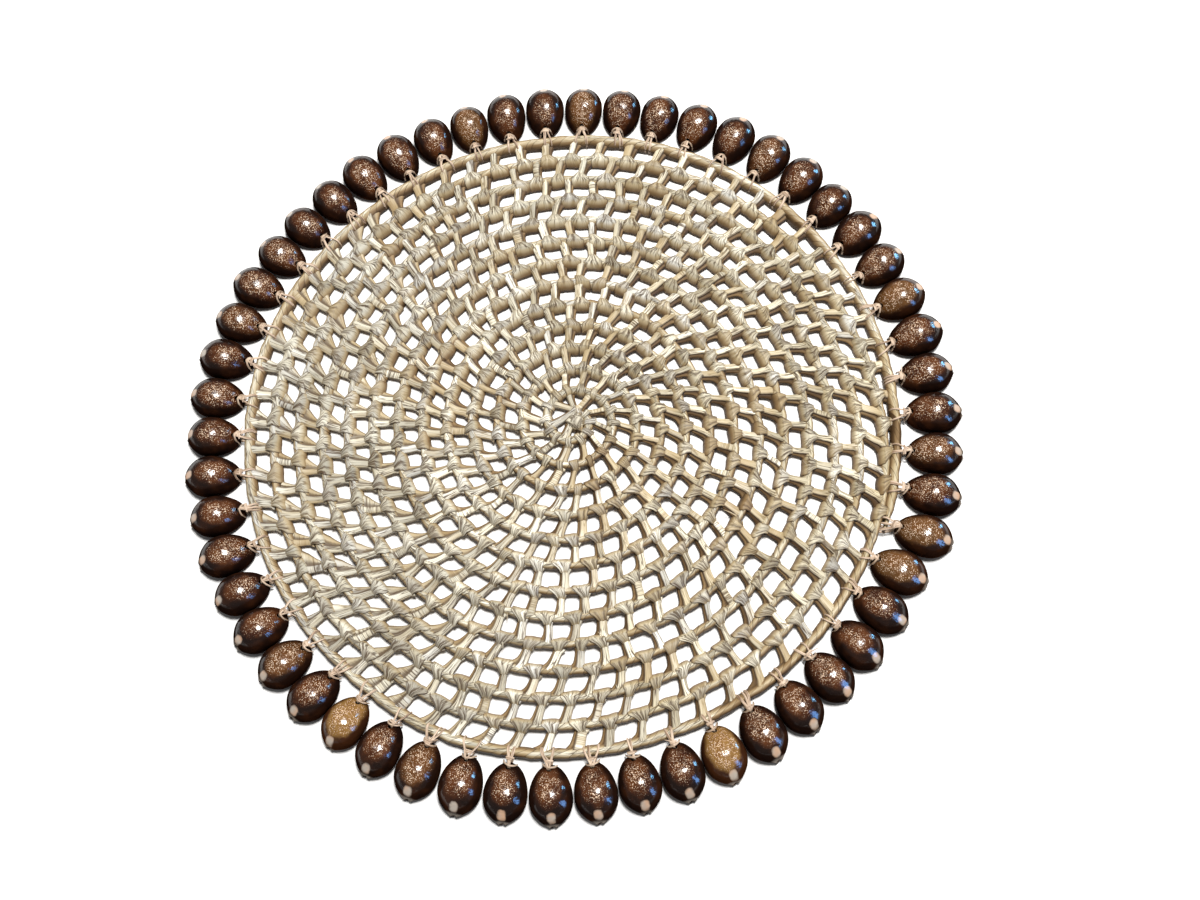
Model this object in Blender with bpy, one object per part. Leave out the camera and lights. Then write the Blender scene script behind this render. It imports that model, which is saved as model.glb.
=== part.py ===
"""Round openwork placemat of coiled palm leaf, edged with cowries tied on with raffia.

One leaf-wrapped coil winds outwards clockwise from the middle. Spaced upright stitches, the
posts, hold each row of it to the row inside, and the gaps between them go right through. The
gaps are drawn at about 1.4 times their real pitch, so that they number under 300. Everything
lies flat on the table plane z = 0, and all sizes are in metres.
"""

import math
import random

import bmesh
import bpy
from mathutils import Vector
from mathutils.geometry import delaunay_2d_cdt

TAU = 2 * math.pi
SEED = 54

# The coil in plan
RIM_RADIUS = 0.1646          # middle of the outermost row, before its bulges
SPIRAL_MIDDLE = (0.0033, 0.0022)
COIL_TURNS = 9.65
COIL_END = math.radians(-31)  # where the last row runs out
RUN_OUT = 0.14               # share of a turn over which the last row narrows
RUN_OUT_STEP = 0.29          # what is left of its width at its end
STEP_FADE = 0.35             # share of a turn that takes the rim out again past that end
FIRST_POST_TURN = 1.02
POST_SPACING = 0.0202        # along the coil in the outer rows
INNER_SPACING = 0.0108       # and around the middle
EVEN_FROM = 0.085            # radius from which the posts are evenly spaced
SPACING_SPREAD = 0.10
POST_LEAN = 0.0036           # how far clockwise a post's foot stands from its head

# Sections
COIL_WIDTH = 0.0050
POST_WIDTH = 0.0042
HEAD_FLARE = 0.0030          # the fan of leaf at a post's head, along the coil
FOOT_FLARE = 0.0018
GAP_EDGE_HEIGHT = 0.0030
POST_HEIGHT = 0.0046
COIL_HEIGHT = 0.0061
HEAD_HEIGHT = 0.0067
VALLEY_HEIGHT = 0.0040       # between two rows that lie side by side
LEAST_GAP = 0.0040
SHORTEST_EDGE = 0.0010
LEAST_RADIUS = 0.0040        # taken for the start of the coil, which has no true radius
WELD = 1e-8
# A gap's corners: the post beside it, how far out across the gap, and the leaf's flare there
GAP_CORNERS = (
    ("first", 0.00, HEAD_FLARE), ("last", 0.00, HEAD_FLARE), ("last", 0.28, 0.0), ("last", 0.86, 0.0),
    ("last", 1.00, FOOT_FLARE), ("first", 1.00, FOOT_FLARE), ("first", 0.78, 0.0), ("first", 0.28, 0.0),
)
VALLEY_STEPS = (0.0, 0.33, 0.67)
MAT_SHARP, COWRIE_SHARP = math.radians(30), math.radians(50)

# Ties and cowries
COWRIES = 54
SEAT = 0.0003
TIE_WIDTH = 0.0026
TIE_NEAR, TIE_FAR = 0.0026, 0.0010   # reach of a tie on the -Y and the +Y side
COWRIE_LENGTH, LENGTH_SPREAD = 0.0283, 0.0009
COWRIE_WIDTH, WIDTH_SPREAD = 0.0207, 0.0006
WITH_LENGTH = 0.6            # share of the spread in width that follows the length
COWRIE_HEIGHT = 0.0146
SIDE_GAP = 0.0006
TURN_WAVE, TURN_SPREAD = math.radians(4.0), math.radians(2.2)
WAVES, WAVE_START = 3, 1.0

# Unevenness of the rim: azimuth in degrees, how far the rim stands out there
BULGES = (
    (0, 0.0002), (50, 0.0016), (90, 0.0001), (120, 0.0003), (150, 0.0012), (182, -0.0008),
    (215, -0.0018), (240, 0.0010), (276, -0.0008), (300, 0.0002), (330, 0.0004),
)

# A cowrie from its drilled end to its outer end: share of the length, of the half width,
# of the height, and the share of the height by which its base is lifted
COWRIE_STATIONS = (
    (0.045, 0.40, 0.44, 0.14),
    (0.22, 0.77, 0.80, 0.00),
    (0.50, 1.00, 1.00, 0.00),
    (0.77, 0.90, 0.86, 0.00),
    (0.955, 0.46, 0.46, 0.12),
)
# Its cross-section from the right lip over the back: share of the half width and of the height
COWRIE_SECTION = (
    (0.36, 0.00), (0.84, 0.13), (1.00, 0.42), (0.68, 0.83), (0.00, 1.00),
    (-0.68, 0.83), (-1.00, 0.42), (-0.84, 0.13), (-0.36, 0.00), (0.00, 0.09),
)


def smooth(share):
    share = min(max(share, 0.0), 1.0)
    return share * share * (3 - 2 * share)


def bulge(azimuth):
    """How far the rim stands out at this azimuth, eased between the rows of BULGES."""
    degrees = math.degrees(azimuth) % 360
    rows = BULGES + ((BULGES[0][0] + 360, BULGES[0][1]),)
    for (start, low), (end, high) in zip(rows, rows[1:]):
        if start <= degrees <= end:
            return low + (high - low) * smooth((degrees - start) / (end - start))
    return BULGES[0][1]


def rows_at(azimuth):
    """Rows from the middle to the rim, which drop by nearly one where the last row runs out."""
    past_end = ((COIL_END - azimuth) % TAU) / TAU
    if past_end > 1 - RUN_OUT:
        share = smooth((past_end - 1 + RUN_OUT) / RUN_OUT)
        gained = (1 - RUN_OUT) + share * (RUN_OUT_STEP - 1 + RUN_OUT)
    else:
        gained = past_end + RUN_OUT_STEP * (1 - smooth(past_end / STEP_FADE))
    return COIL_TURNS - 1 + gained


def plan(row, azimuth, outwards=0.0):
    """The point in plan that many rows out from the middle, moved outwards by a distance."""
    share = min(row / rows_at(azimuth), 1.0)
    reach = share * RIM_RADIUS + share * share * bulge(azimuth) + outwards
    return Vector((
        (1 - share) * SPIRAL_MIDDLE[0] + reach * math.cos(azimuth),
        (1 - share) * SPIRAL_MIDDLE[1] + reach * math.sin(azimuth),
    ))


def azimuth_of(turn):
    return COIL_END + TAU * (COIL_TURNS - turn)


def coil_point(turn):
    return plan(turn, azimuth_of(turn))


def radius_of(turn):
    return max(turn / COIL_TURNS * RIM_RADIUS, LEAST_RADIUS)


def post_turns(random_numbers):
    """The turns at which posts stand, closer together around the middle."""
    turns = [FIRST_POST_TURN]
    while turns[-1] < COIL_TURNS:
        middle = radius_of(turns[-1] - 0.5)
        spacing = INNER_SPACING + (POST_SPACING - INNER_SPACING) * smooth(middle / EVEN_FROM)
        spacing *= 1 + SPACING_SPREAD * random_numbers.uniform(-1, 1)
        turns.append(turns[-1] + spacing / (TAU * middle))
    return turns


def cell_point(first, last, along, across):
    """A point of the cell between two posts: along from the first, across from the inner row."""
    lean = POST_LEAN * (1 - across) / (TAU * radius_of(first))
    turn = first + (last - first) * along - lean
    inner = plan(turn - 1, azimuth_of(turn))
    outer = coil_point(turn)
    return inner + (outer - inner) * across


def gap_outline(first, last):
    """The gap between two posts, narrowed by their heads and feet, or None if it is too small."""
    row = (cell_point(first, last, 0.5, 1) - cell_point(first, last, 0.5, 0)).length
    middle = (cell_point(first, last, 1, 0.5) - cell_point(first, last, 0, 0.5)).length
    if min(row - COIL_WIDTH, middle - POST_WIDTH) < LEAST_GAP:
        return None
    edge = COIL_WIDTH / 2 / row
    outline = []
    for post, share, flare in GAP_CORNERS:
        across = edge + share * (1 - 2 * edge)
        chord = (cell_point(first, last, 1, across) - cell_point(first, last, 0, across)).length
        along = min((POST_WIDTH / 2 + flare) / chord, 0.5)
        if post == "last":
            along = 1 - along
        point = cell_point(first, last, along, across)
        if all((point - other).length > SHORTEST_EDGE for other in outline):
            outline.append(point)
    return outline


def cowrie_layout():
    """For each cowrie: its azimuth, the way it points, its length and its width."""
    numbers = random.Random(SEED)
    sizes = []
    for _ in range(COWRIES):
        longer, wider, turned = (numbers.uniform(-1, 1) for _ in range(3))
        length = COWRIE_LENGTH + LENGTH_SPREAD * longer
        width = COWRIE_WIDTH + WIDTH_SPREAD * (WITH_LENGTH * longer + (1 - WITH_LENGTH) * wider)
        sizes.append((length, width, turned))
    girth = sum(width + SIDE_GAP for _, width, _ in sizes)
    placed, run = [], 0.0
    for length, width, turned in sizes:
        azimuth = TAU * (run + (width + SIDE_GAP) / 2) / girth
        pointing = azimuth + TURN_WAVE * math.sin(WAVES * azimuth + WAVE_START)
        pointing += TURN_SPREAD * turned
        placed.append((azimuth, pointing, length, width))
        run += width + SIDE_GAP
    return placed


def rim_edge(azimuth, outwards=0.0):
    past_end = ((COIL_END - azimuth) % TAU) / TAU
    row = COIL_TURNS - 1 + past_end
    return plan(row, azimuth, COIL_WIDTH / 2 + outwards)


def tie_reach(azimuth):
    share = (1 + math.sin(azimuth)) / 2
    return TIE_NEAR + (TIE_FAR - TIE_NEAR) * share


def mat_outline(cowries):
    """The rim with a short tie standing out towards each cowrie."""
    points = []
    azimuths = [azimuth for azimuth, *_ in cowries]
    for azimuth, following in zip(azimuths, azimuths[1:] + [azimuths[0] + TAU]):
        half = TIE_WIDTH / 2 / RIM_RADIUS
        reach = tie_reach(azimuth) - SEAT
        points += [
            rim_edge(azimuth - half), rim_edge(azimuth - half, reach),
            rim_edge(azimuth + half, reach), rim_edge(azimuth + half),
            rim_edge((azimuth + following) / 2),
        ]
    return points


def coil_crest(posts):
    """Points of the coil's crest with their heights, from the middle to the coil's end."""
    crest = []
    for first, last in zip(posts, posts[1:]):
        lean = POST_LEAN / (TAU * radius_of(first))
        crest.append((first - 1 - lean, HEAD_HEIGHT))
        crest.append(((first + last) / 2 - 1 - lean, COIL_HEIGHT))
    step = POST_SPACING / 2 / (TAU * RIM_RADIUS)
    crest = [(turn, height) for turn, height in crest if turn < COIL_TURNS - 1]
    while crest[-1][0] + step < COIL_TURNS:
        crest.append((crest[-1][0] + step, COIL_HEIGHT))
    return [(coil_point(turn), height) for turn, height in crest]


def cell_crest(first, last):
    """The crest of a cell's first post or, where there is no gap, the valley between the rows."""
    if gap_outline(first, last):
        return [(cell_point(first, last, 0, 0.5), POST_HEIGHT)]
    return [(cell_point(first, last, along, 0.5), VALLEY_HEIGHT) for along in VALLEY_STEPS]


def region(points, edges, loops):
    """Triangles inside the first loop and outside the others, on exactly these points."""
    verts, _, faces, _, _, origins = delaunay_2d_cdt(points, edges, loops, 1, WELD, True)
    if len(verts) != len(points):
        raise ValueError(f"the plan's lines cross: {len(verts)} points of {len(points)}")
    return [list(face) for face, origin in zip(faces, origins) if list(origin) == [0]]


def mesh_object(name, points, faces, material, sharp):
    """A smooth-shaded mesh object whose edges steeper than the sharp angle stay crisp."""
    mesh = bpy.data.meshes.new(name)
    mesh.from_pydata(points, [], faces)
    shape = bmesh.new()
    shape.from_mesh(mesh)
    bmesh.ops.recalc_face_normals(shape, faces=shape.faces)
    shape.to_mesh(mesh)
    shape.free()
    mesh.shade_smooth()
    mesh.set_sharp_from_angle(angle=sharp)
    mesh.materials.append(material)
    obj = bpy.data.objects.new(name, mesh)
    bpy.context.scene.collection.objects.link(obj)
    return obj


def build_mat(cowries, material):
    """The coiled mat: a flat underside, steep gap walls, and crests along coil and posts."""
    posts = post_turns(random.Random(SEED + 1))
    cells = list(zip(posts, posts[1:]))
    gaps = [gap for gap in (gap_outline(*cell) for cell in cells) if gap]
    outline = mat_outline(cowries)
    points = list(outline)
    loops = [list(range(len(outline)))]
    for gap in gaps:
        loops.append(list(range(len(points), len(points) + len(gap))))
        points += gap
    lower = len(points)
    heights = [GAP_EDGE_HEIGHT] * lower
    coil = coil_crest(posts)
    line = list(range(lower, lower + len(coil)))
    for point, height in coil + [crest for cell in cells for crest in cell_crest(*cell)]:
        points.append(point)
        heights.append(height)

    faces = region(points, list(zip(line, line[1:])), loops)
    base = len(points)
    faces += [[base + i for i in reversed(face)] for face in region(points[:lower], [], loops)]
    for loop in loops:
        for a, b in zip(loop, loop[1:] + loop[:1]):
            faces.append([a, b, base + b, base + a])
    corners = [(p.x, p.y, height) for p, height in zip(points, heights)]
    corners += [(p.x, p.y, 0.0) for p in points[:lower]]
    return mesh_object("mat", corners, faces, material, MAT_SHARP)


def build_cowrie(name, azimuth, pointing, length, width, material):
    """One cowrie, its drilled end towards the rim and its base on the table."""
    points = []
    for share, half, high, lift in COWRIE_STATIONS:
        for across, up in COWRIE_SECTION:
            height = COWRIE_HEIGHT * (lift + up * (high - lift))
            points.append(((share - 0.5) * length, across * half * width / 2, height))
    for end, (_, _, high, lift) in ((-0.5, COWRIE_STATIONS[0]), (0.5, COWRIE_STATIONS[-1])):
        points.append((end * length, 0.0, COWRIE_HEIGHT * (lift + high) / 2))
    count = len(COWRIE_SECTION)
    rings = [range(i * count, (i + 1) * count) for i in range(len(COWRIE_STATIONS))]
    inner, outer = len(points) - 2, len(points) - 1
    faces = []
    for i in range(count):
        j = (i + 1) % count
        faces += [[low[i], low[j], high[j], high[i]] for low, high in zip(rings, rings[1:])]
        faces += [[inner, rings[0][j], rings[0][i]], [outer, rings[-1][i], rings[-1][j]]]
    cowrie = mesh_object(name, points, faces, material, COWRIE_SHARP)
    middle = rim_edge(azimuth, tie_reach(azimuth))
    middle += Vector((math.cos(azimuth), math.sin(azimuth))) * (length / 2)
    cowrie.location = (middle.x, middle.y, 0.0)
    cowrie.rotation_euler = (0.0, 0.0, pointing)
    return cowrie


def principled(name, colour, roughness):
    material = bpy.data.materials.new(name)
    material.use_nodes = True
    shader = material.node_tree.nodes["Principled BSDF"]
    shader.inputs["Base Color"].default_value = (*colour, 1)
    shader.inputs["Roughness"].default_value = roughness
    shader.inputs["Metallic"].default_value = 0.0
    return material


def main():
    for obj in list(bpy.data.objects):
        bpy.data.objects.remove(obj, do_unlink=True)
    leaf = principled("palm_leaf", (0.56, 0.48, 0.33), 0.62)
    glaze = principled("cowrie", (0.09, 0.036, 0.018), 0.16)
    placemat = bpy.data.objects.new("placemat", None)
    bpy.context.scene.collection.objects.link(placemat)
    cowries = cowrie_layout()
    build_mat(cowries, leaf).parent = placemat
    for number, placing in enumerate(cowries, 1):
        build_cowrie(f"cowrie_{number:02d}", *placing, glaze).parent = placemat


main()
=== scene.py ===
"""Looks of a round openwork placemat: leaf-wrapped coil, posts with fanned heads, ties, cowries.

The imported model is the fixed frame. Every piece stands for CAD nodes, keeps their places, and
adds the real pitch of the coil, the folds of the leaf and the finish of each surface.
"""

import math
import random

import bpy
import numpy as np
from bpy.props import FloatProperty, FloatVectorProperty, PointerProperty
from mathutils import Matrix, Vector


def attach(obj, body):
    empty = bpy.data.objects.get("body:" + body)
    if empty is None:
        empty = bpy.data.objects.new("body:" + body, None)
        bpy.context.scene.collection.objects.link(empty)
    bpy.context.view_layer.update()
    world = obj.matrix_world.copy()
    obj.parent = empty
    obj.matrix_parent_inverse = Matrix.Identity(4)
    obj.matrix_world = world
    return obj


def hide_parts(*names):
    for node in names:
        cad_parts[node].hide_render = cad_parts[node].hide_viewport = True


bl_info = {
    "name": "Openwork placemat with cowries",
    "version": (1, 0, 0),
    "blender": (4, 5, 0),
    "location": "3D View > Sidebar > Placemat",
    "description": "Builds the coiled leaf mat, its ties and its cowries around the packed frame",
    "category": "Object",
}

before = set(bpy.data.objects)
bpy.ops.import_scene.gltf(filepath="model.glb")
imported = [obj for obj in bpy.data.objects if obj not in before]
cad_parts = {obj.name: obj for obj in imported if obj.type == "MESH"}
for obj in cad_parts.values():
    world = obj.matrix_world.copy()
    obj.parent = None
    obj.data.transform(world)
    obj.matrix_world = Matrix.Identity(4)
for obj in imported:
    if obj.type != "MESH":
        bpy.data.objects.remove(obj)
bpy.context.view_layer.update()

TAU = 2 * math.pi
MM = 0.001
BODY = "root"
MAT_NODE = "mat"
COWRIE_NODES = sorted(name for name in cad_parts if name.startswith("cowrie_"))

# The coil in plan, as in the part's source but with the real number of turns
RIM_RADIUS = 0.1646
SPIRAL_MIDDLE = (0.0033, 0.0022)
COIL_TURNS = 13.65
COIL_START_TURN = 0.36
COIL_END = math.radians(-31)
RUN_OUT = 0.14
RUN_OUT_STEP = 0.31
STEP_FADE = 0.35
BULGES = (
    (0, 0.2), (50, 1.6), (90, 0.1), (120, 0.3), (150, 1.2), (182, -0.8),
    (215, -1.8), (240, 1.0), (276, -0.8), (300, 0.2), (330, 0.4), (360, 0.2),
)  # azimuth in degrees, how far the rim stands out there in mm
TABLE_STEPS = 9000

# Posts: radius in mm and the spacing along the coil there
POST_SPACINGS = ((0, 11.0), (12, 10.8), (30, 11.4), (50, 12.2), (85, 13.0), (120, 13.7), (165, 14.8))
FIRST_POST_TURN = 0.92
SPACING_SPREAD = 0.13
# How far a post's foot stands clockwise of its head, by azimuth in degrees, mm
POST_LEANS = ((0, 2.3), (90, 0.5), (180, 2.5), (270, 0.9), (360, 2.3))
LEAN_SPREAD = 0.0011  # metres by which a lean may differ from that
HEAD_CLEAR = 0.0016  # a foot that is nearer than this counts as lying before the head
FIRST_ROOM = 0.012  # room on the row before the first foot
HEAD_BACK = 0.0012  # how far anticlockwise of the middle of its room on the row a head stands
HEAD_SHIFT = 0.0018  # the most that a head is moved to get there

# The coil's section
COIL_FLOOR = 0.35  # mm above the table
COIL_BELLY = 1.1  # mm that the coil stands out low on its inner side
FAR_BELLY = 1.5  # mm more away from the near side, where the leaf is drawn down to a sloping face
RIM_BELLY = 0.9  # mm more on the last row
RIM_SWELL = 0.16  # share by which the last row is wider
START_SWELL, START_LENGTH = 0.22, 0.13  # the same at the coil's start, and over what length
# Unevenness of the coil's width, height and line and of the fans: how much, wave lengths, seed
WIDTH_WAVES = 0.07, (0.031, 0.013), 3
HEIGHT_WAVES = 0.05, (0.043, 0.017), 4
LINE_WAVES = 0.00035, (0.037, 0.019, 0.008), 5
FAN_WAVES = 0.25, (0.021, 0.007), 8
LAST_ROW_BLEND = 0.03  # length over which the coil takes on the look of its last row
TIP_LENGTHS = (0.010, 0.016)  # over which the coil thins out at its start and its end


def smooth(share):
    share = np.clip(share, 0.0, 1.0)
    return share * share * (3 - 2 * share)


def eased(rows, at):
    """A value eased between the rows of a short table of places and values."""
    places, values = np.array(rows, float).T
    at = np.asarray(at, float)
    index = np.clip(np.searchsorted(places, at, side="right") - 1, 0, len(places) - 2)
    share = smooth((at - places[index]) / (places[index + 1] - places[index]))
    return values[index] + (values[index + 1] - values[index]) * share


def waves(along, most, lengths, seed):
    """Slow unevenness along a length, from a few waves with seeded phases."""
    numbers = random.Random(seed)
    total = sum(np.sin(TAU * along / length + numbers.uniform(0, TAU)) for length in lengths)
    return most * (total / len(lengths))


# The coil's line


def rows_at(azimuth):
    """Rows from the middle to the rim, which drop by nearly one where the last row runs out."""
    past_end = ((COIL_END - azimuth) % TAU) / TAU
    ending = (1 - RUN_OUT) + smooth((past_end - 1 + RUN_OUT) / RUN_OUT) * (RUN_OUT_STEP - 1 + RUN_OUT)
    going_on = past_end + RUN_OUT_STEP * (1 - smooth(past_end / STEP_FADE))
    return COIL_TURNS - 1 + np.where(past_end > 1 - RUN_OUT, ending, going_on)


def plan(row, azimuth):
    """Points in plan that many rows out from the middle."""
    share = np.minimum(row / rows_at(azimuth), 1.0)
    reach = share * RIM_RADIUS + share * share * eased(BULGES, np.degrees(azimuth) % 360) * MM
    middle = np.array(SPIRAL_MIDDLE)
    ahead = np.stack([np.cos(azimuth), np.sin(azimuth)], -1)
    return (1 - share)[..., None] * middle + reach[..., None] * ahead


def azimuth_of(turn):
    return COIL_END + TAU * (COIL_TURNS - np.asarray(turn, float))


LINE_TURNS = np.linspace(COIL_START_TURN, COIL_TURNS, TABLE_STEPS)
LINE = plan(LINE_TURNS, azimuth_of(LINE_TURNS))
LINE_LENGTHS = np.concatenate([[0], np.cumsum(np.linalg.norm(np.diff(LINE, axis=0), axis=1))])
COIL_LENGTH = LINE_LENGTHS[-1]
LINE_AHEAD = np.gradient(LINE, LINE_LENGTHS, axis=0)
LINE_AHEAD /= np.linalg.norm(LINE_AHEAD, axis=1)[:, None]


def length_at(turn):
    return np.interp(turn, LINE_TURNS, LINE_LENGTHS)


RIM_START = float(length_at(COIL_TURNS - 1))


def on_line(length):
    """Point, clockwise direction and outward direction of the coil's middle line in plan."""
    point = np.stack([np.interp(length, LINE_LENGTHS, LINE[:, i]) for i in (0, 1)], -1)
    ahead = np.stack([np.interp(length, LINE_LENGTHS, LINE_AHEAD[:, i]) for i in (0, 1)], -1)
    return point, ahead, np.stack([-ahead[..., 1], ahead[..., 0]], -1)


def away_share(outward):
    """From 0 on the mat's near side to 1 round the rest of it, by the way outwards there."""
    return smooth((outward[..., 1] + 0.6) / 0.8)


def coil_surface(length, angle, lift, sizes):
    """Points on the coil's skin: angle 0 faces outwards and a quarter turn faces up."""
    point, _, outward = on_line(length)
    ends = smooth(length / TIP_LENGTHS[0]) * smooth((COIL_LENGTH - length) / TIP_LENGTHS[1])
    last = smooth((length - RIM_START) / LAST_ROW_BLEND)
    rim = RIM_SWELL * last + START_SWELL * (1 - smooth(length / START_LENGTH))
    wide = sizes.coil_width / 2 * (0.35 + 0.65 * ends) * (1 + rim + waves(length, *WIDTH_WAVES))
    high = sizes.coil_height / 2 * (0.45 + 0.55 * ends) * (1 + waves(length, *HEIGHT_WAVES))
    middle = sizes.coil_height / 2 + COIL_FLOOR * MM
    sideways = waves(length, *LINE_WAVES)
    cos, sin = np.cos(angle), np.sin(angle)
    drawn = FAR_BELLY * away_share(outward) * (1 - 0.5 * last) * smooth((length - 0.05) / 0.15)
    belly = (COIL_BELLY + RIM_BELLY * last + drawn) * MM * ends * np.clip(-cos, 0, 1) * (1 - sin) / 2
    out = wide * np.sign(cos) * np.abs(cos) ** np.where(sin > 0, 1.1, 0.8) + lift * cos + sideways - belly
    up = middle + high * np.sign(sin) * np.abs(sin) ** 0.85 + lift * sin
    up = np.maximum(up, 0.08 * MM)
    return np.concatenate([point + outward * out[..., None], up[..., None]], -1)


# Meshes from arrays


SHADE_BELOW, LOW_SHADE = 5.6, 1.45  # height in mm below which painted shade browns the leaf, and how much


def new_object(name, points, faces, material=None, values=None, sharp_degrees=None):
    """A mesh and its object, with the numbers on its points that its finish reads."""
    mesh = bpy.data.meshes.new(name)
    mesh.from_pydata(points, [], faces)
    for key, value in (values or {}).items():
        attribute = mesh.attributes.new(key, "FLOAT", "POINT")
        attribute.data.foreach_set("value", value.astype(np.float32))
    if material:
        mesh.materials.append(material)
    if sharp_degrees:
        mesh.shade_smooth()
        mesh.set_sharp_from_angle(angle=math.radians(sharp_degrees))
    made = bpy.data.objects.new(name, mesh)
    bpy.context.scene.collection.objects.link(made)
    return made


def stand_for(made, node):
    """The piece rides on the part's body in the place of a CAD node."""
    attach(made, BODY)
    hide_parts(node)
    return made


class Skin:
    """Gathers grids of points, and what the leaf's finish reads from them, into one mesh."""

    def __init__(self):
        self.points, self.faces, self.corners = [], [], []
        # browning holds the leaf's own browning together with the shade painted on it
        self.values = {"tone": [], "edge": [], "browning": []}
        self.count = 0

    def add(self, points, flat, closed=True, deepest_shade=LOW_SHADE, **values):
        """points is copies x rows x columns x 3. flat is each point's place on the flat leaf in
        metres. A closed grid runs round into a tube with ends, and its flat leaf has one more
        column. An open grid faces the other way."""
        copies, rows, columns = points.shape[:3]
        across = columns if closed else columns - 1
        row, column = np.meshgrid(np.arange(rows - 1), np.arange(across), indexing="ij")

        def corners(wide, following):
            """The four corners of each face in a grid that many columns wide."""
            quads = (row * wide + column, row * wide + following,
                     (row + 1) * wide + following, (row + 1) * wide + column)
            return np.stack(quads if closed else quads[::-1], -1).reshape(-1, 4)

        quads = corners(columns, (column + 1) % columns)
        places = corners(flat.shape[2], column + 1)
        size = rows * columns
        for start in range(self.count, self.count + copies * size, size):
            self.faces.extend((quads + start).tolist())
            if closed:
                self.faces.append(list(range(start, start + columns))[::-1])
                self.faces.append(list(range(start + size - columns, start + size)))
        body = flat.reshape(copies, -1, 2)[:, places.reshape(-1)]
        if closed:
            body = np.concatenate([body, np.zeros((copies, 2 * columns, 2))], 1)
        self.corners.append(body.reshape(-1, 2))
        self.points.append(points.reshape(-1, 3))
        # Painted shade: the lower the leaf lies, the browner it is drawn, where shade falls between the rows
        deep = deepest_shade * smooth((SHADE_BELOW - points[..., 2] / MM) / SHADE_BELOW)
        for name, parts in self.values.items():
            value = values.get(name, 0.0) + (deep if name == "browning" else 0 * deep)
            parts.append(value.reshape(-1))
        self.count += copies * size

    def piece(self, name, material, sharp_degrees=38):
        """One object that stands for the mat, with the leaf's map on its faces."""
        values = {key: np.concatenate(parts) for key, parts in self.values.items()}
        points = np.concatenate(self.points).tolist()
        made = new_object(name, points, self.faces, material, values, sharp_degrees)
        layer = made.data.uv_layers.new(name="leaf")
        layer.uv.foreach_set("vector", np.concatenate(self.corners).astype(np.float32).ravel())
        return stand_for(made, MAT_NODE)


# Finishes


class Value:
    """A shader node's output that is added, multiplied and mapped like a number."""

    def __init__(self, tree, socket):
        self.tree, self.socket = tree, socket

    def math(self, operation, *others, clamp=False):
        return add_node(self.tree, "Math", (self, *others), operation=operation, use_clamp=clamp)

    def __add__(self, other):
        return self.math("ADD", other)

    def __sub__(self, other):
        return self.math("SUBTRACT", other)

    def __mul__(self, other):
        return self.math("MULTIPLY", other)

    def __pow__(self, other):
        return self.math("POWER", other)

    def __abs__(self):
        return self.math("ABSOLUTE")

    def vector(self, operation, *others, out=0):
        return add_node(self.tree, "VectorMath", (self, *others), out, operation=operation)

    def axis(self, index):
        return add_node(self.tree, "SeparateXYZ", (self,), index)

    def mapped(self, low, high, start=0.0, end=1.0, how="SMOOTHSTEP"):
        return add_node(self.tree, "MapRange", (self, low, high, start, end), interpolation_type=how)

    def mix(self, first, second):
        """Two colours mixed by this share; each is another value or three numbers."""
        ends = [end if isinstance(end, Value) else (*end, 1.0) for end in (first, second)]
        return add_node(self.tree, "Mix", {0: self, 6: ends[0], 7: ends[1]}, 2, data_type="RGBA")

    def moved(self, stretch, shift):
        """A place scaled by stretch and moved by a number."""
        scaled = self.vector("MULTIPLY", stretch)
        return scaled.vector("ADD", add_node(self.tree, "CombineXYZ", {2: shift}))

    def noise(self, stretch, detail=2.0, roughness=0.5, shift=0.0):
        inputs = {"Vector": self.moved(stretch, shift), "Scale": 1.0, "Detail": detail,
                  "Roughness": roughness}
        return add_node(self.tree, "TexNoise", inputs)

    def bump(self, strength, distance):
        inputs = {"Strength": strength, "Distance": distance * MM, "Height": self}
        return add_node(self.tree, "Bump", inputs)


def set_inputs(tree, node, inputs):
    """Gives a node its inputs, as numbers or as links from other nodes' outputs."""
    for key, value in inputs.items() if isinstance(inputs, dict) else enumerate(inputs):
        if isinstance(value, Value):
            tree.links.new(value.socket, node.inputs[key])
        else:
            node.inputs[key].default_value = value


def add_node(tree, kind, inputs=(), out=0, **settings):
    """One output of a new shader node."""
    node = tree.nodes.new("ShaderNode" + kind)
    for key, value in settings.items():
        setattr(node, key, value)
    set_inputs(tree, node, inputs)
    return Value(tree, node.outputs[out])


def new_material(name, *numbers):
    """A material, its nodes, and the numbers that the mesh carries for it."""
    material = bpy.data.materials.new(name)
    material.use_nodes = True
    tree = material.node_tree
    return material, tree, [add_node(tree, "Attribute", out="Fac", attribute_name=key) for key in numbers]


def finish_material(material, **inputs):
    """Gives the material's own shader its colour, roughness, gloss and bump."""
    names = {"colour": "Base Color", "rough": "Roughness", "gloss": "Specular IOR Level", "bump": "Normal"}
    tree = material.node_tree
    set_inputs(tree, tree.nodes["Principled BSDF"], {names[key]: value for key, value in inputs.items()})
    return material


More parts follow.
